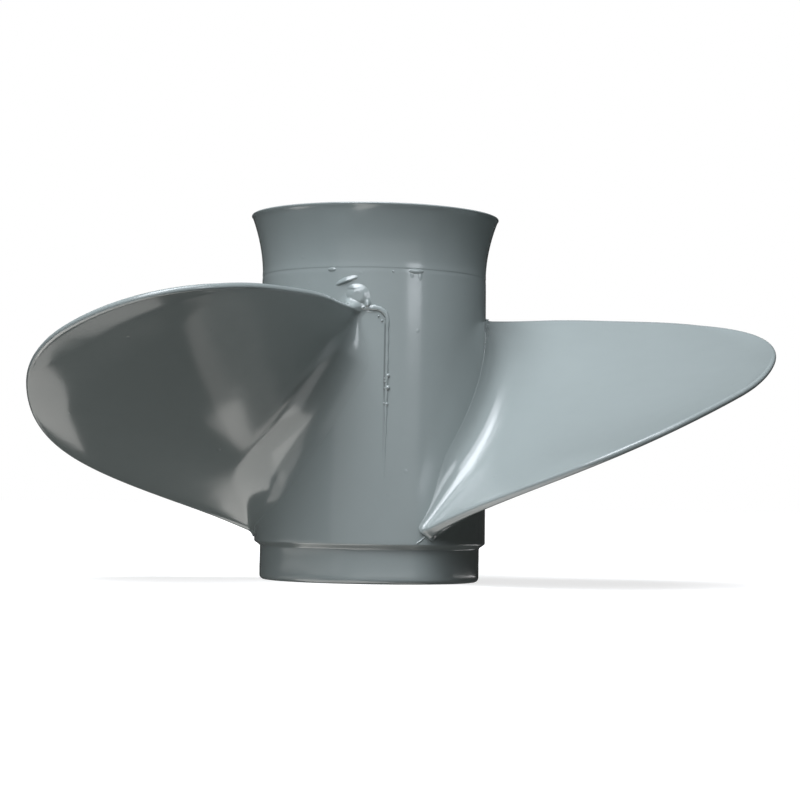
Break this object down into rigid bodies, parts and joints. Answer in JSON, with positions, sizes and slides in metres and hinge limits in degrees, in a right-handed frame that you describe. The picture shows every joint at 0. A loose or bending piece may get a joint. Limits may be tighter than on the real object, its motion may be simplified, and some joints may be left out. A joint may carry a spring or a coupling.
{
  "type": "three-blade boat propeller",
  "caption": "Right-hand boat propeller with a flared exhaust hub, raked and cupped blades, a rubber bush and a splined sleeve.",
  "frame": {"origin": "on the shaft axis, in the plane of the front rim that the part stands on", "axes": "+Z along the shaft axis towards the flared aft end; +Y into the picture, +X to its right"},
  "size_m": [0.2509, 0.253, 0.1285],
  "materials": {
    "grey_enamel": "gloss",
    "black_rubber": "matte",
    "turned_brass": "satin"
  },
  "bodies": {
    "root": {"barrel": "grey_enamel", "exhaust_flare": "grey_enamel", "front_collar": "grey_enamel", "blade_1": "grey_enamel", "blade_2": "grey_enamel", "blade_3": "grey_enamel", "inner_hub": "grey_enamel", "rib_1": "grey_enamel", "rib_2": "grey_enamel", "rib_3": "grey_enamel", "rubber_bush": "black_rubber", "splined_sleeve": "turned_brass"}
  },
  "joints": []
}
